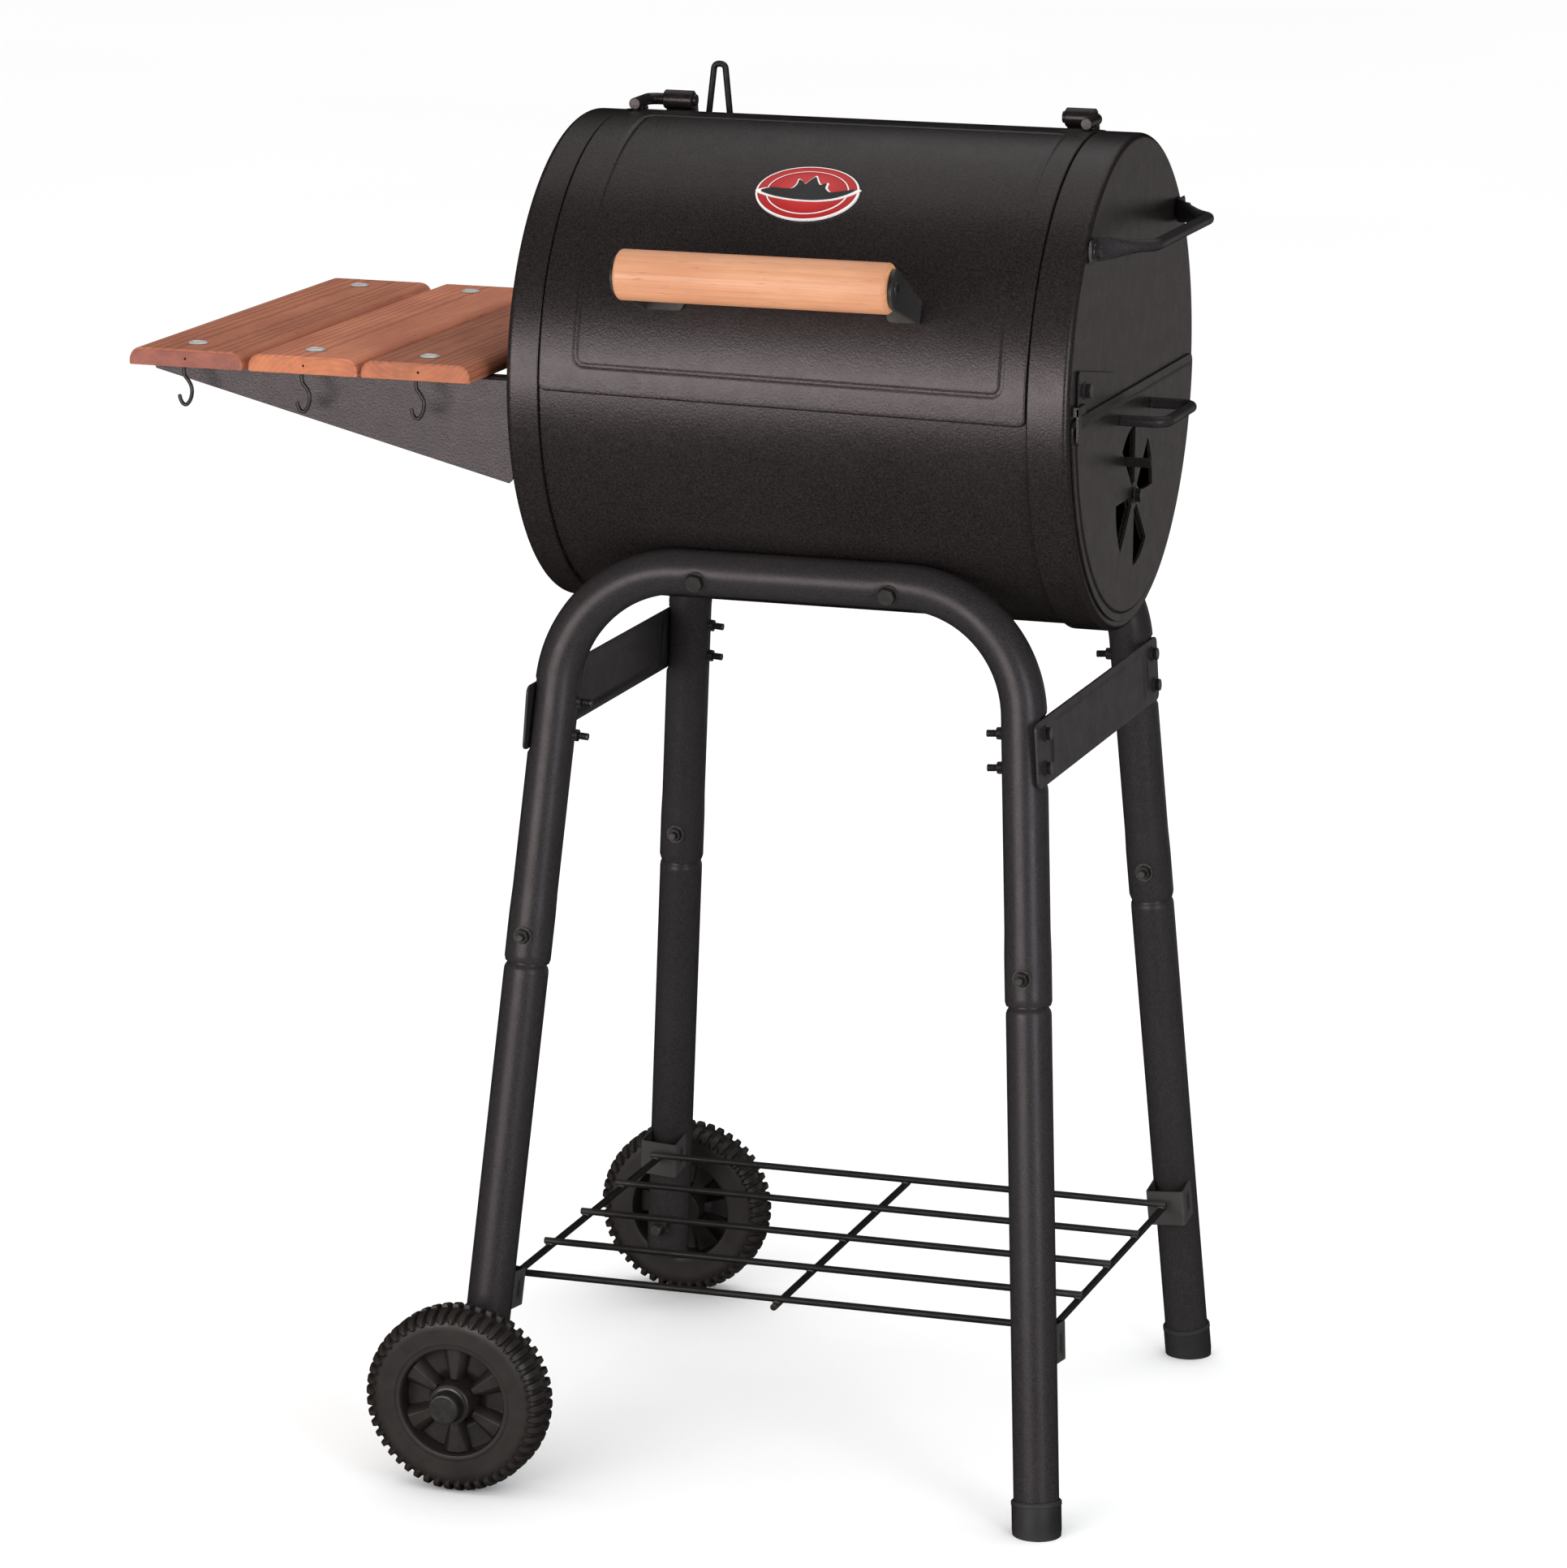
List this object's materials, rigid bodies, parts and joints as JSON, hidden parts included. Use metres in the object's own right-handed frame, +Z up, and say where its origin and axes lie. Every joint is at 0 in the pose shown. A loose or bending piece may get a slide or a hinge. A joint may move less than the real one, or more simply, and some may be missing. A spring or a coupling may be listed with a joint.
{
  "type": "barrel charcoal grill",
  "caption": "Barrel charcoal grill on a tubular stand with two wheels, hinged lid with wood handle, pull-out ash drawer, slatted side shelf and wire rack.",
  "frame": {"origin": "on the floor under the middle of the bounding box", "axes": "+Z up, -Y towards the person at the lid handle, +X towards the ash drawer, -X towards the side shelf"},
  "size_m": [0.8216, 0.661, 1.1274],
  "materials": {
    "barrel_paint": "textured semi-gloss black high-heat powder coat",
    "tube_paint": "smooth satin black paint",
    "cedar": "red-brown softwood boards, lightly oiled",
    "maple": "turned light hardwood, clear lacquer",
    "wheel_plastic": "moulded black plastic",
    "cast_iron": "seasoned rough casting",
    "black_steel": "black coated hardware and wire",
    "badge_enamel": "red enamel oval plate"
  },
  "bodies": {
    "grill_body": {"body_shell": "barrel_paint", "left_end_cap": "barrel_paint", "right_end_cap": "barrel_paint", "hinge_sleeve_left": "barrel_paint", "hinge_sleeve_right": "barrel_paint", "lid_rest_loop": "black_steel", "lift_handle": "tube_paint", "grate_rail_front": "barrel_paint", "grate_rail_rear": "barrel_paint", "upper_frame_front": "tube_paint", "upper_frame_rear": "tube_paint", "lower_leg_front_left": "tube_paint", "lower_leg_front_right": "tube_paint", "lower_leg_rear_left": "tube_paint", "lower_leg_rear_right": "tube_paint", "leg_bolt_front_left": "black_steel", "leg_bolt_front_right": "black_steel", "leg_bolt_rear_left": "black_steel", "leg_bolt_rear_right": "black_steel", "saddle_bolt_front_left": "black_steel", "saddle_bolt_front_right": "black_steel", "saddle_bolt_rear_left": "black_steel", "saddle_bolt_rear_right": "black_steel", "foot_cap_front_right": "wheel_plastic", "foot_cap_rear_right": "wheel_plastic", "leg_brace_left": "tube_paint", "leg_brace_right": "tube_paint", "wire_rack": "black_steel", "rack_clip_front_left": "black_steel", "rack_clip_front_right": "black_steel", "rack_clip_rear_left": "black_steel", "rack_clip_rear_right": "black_steel", "axle_bolt_front": "black_steel", "axle_bolt_rear": "black_steel", "shelf_gusset_front": "barrel_paint", "shelf_gusset_rear": "barrel_paint", "shelf_board_outer": "cedar", "shelf_board_middle": "cedar", "shelf_board_inner": "cedar", "tool_hook_outer": "black_steel", "tool_hook_middle": "black_steel", "tool_hook_inner": "black_steel"},
    "lid": {"lid_shell": "barrel_paint", "handle_bracket_left": "black_steel", "handle_bracket_right": "black_steel", "lid_handle": "maple", "hinge_rod_left": "barrel_paint", "hinge_rod_right": "barrel_paint", "badge": "badge_enamel"},
    "ash_drawer": {"drawer_front": "barrel_paint", "ash_pan": "barrel_paint", "drawer_handle": "tube_paint", "charcoal_grate": "cast_iron", "draft_damper_bolt": "black_steel"},
    "draft_vent": {"draft_damper": "barrel_paint"},
    "exhaust_vent": {"exhaust_damper": "barrel_paint"},
    "front_wheel": {"wheel_front": "wheel_plastic"},
    "rear_wheel": {"wheel_rear": "wheel_plastic"},
    "left_grate": {"cooking_grate_left": "cast_iron"},
    "right_grate": {"cooking_grate_right": "cast_iron"}
  },
  "joints": [
    {"name": "lid_hinge", "type": "hinge", "parent": "grill_body", "child": "lid", "pos_m": [0.13516, 0.038, 1.0955], "axis": [-1, 0, 0], "range_deg": [0, 122]},
    {"name": "drawer_slide", "type": "slide", "parent": "grill_body", "child": "ash_drawer", "axis": [1, 0, 0], "range_m": [0, 0.36]},
    {"name": "draft_vent_turn", "type": "hinge", "parent": "ash_drawer", "child": "draft_vent", "pos_m": [0.36686, 0, 0.798], "axis": [-1, 0, 0], "range_deg": [0, 38]},
    {"name": "exhaust_vent_turn", "type": "hinge", "parent": "grill_body", "child": "exhaust_vent", "pos_m": [-0.09654, 0, 0.984], "axis": [-1, 0, 0], "range_deg": [0, 38]},
    {"name": "front_wheel_spin", "type": "hinge", "parent": "grill_body", "child": "front_wheel", "pos_m": [-0.10201, -0.291, 0.0762], "axis": [0, 1, 0], "continuous": true},
    {"name": "rear_wheel_spin", "type": "hinge", "parent": "grill_body", "child": "rear_wheel", "pos_m": [-0.10201, 0.291, 0.0762], "axis": [0, 1, 0], "continuous": true},
    {"name": "left_grate_lift", "type": "slide", "parent": "grill_body", "child": "left_grate", "axis": [0, 0, 1], "range_m": [0, 0.03]},
    {"name": "right_grate_lift", "type": "slide", "parent": "grill_body", "child": "right_grate", "axis": [0, 0, 1], "range_m": [0, 0.03]}
  ]
}
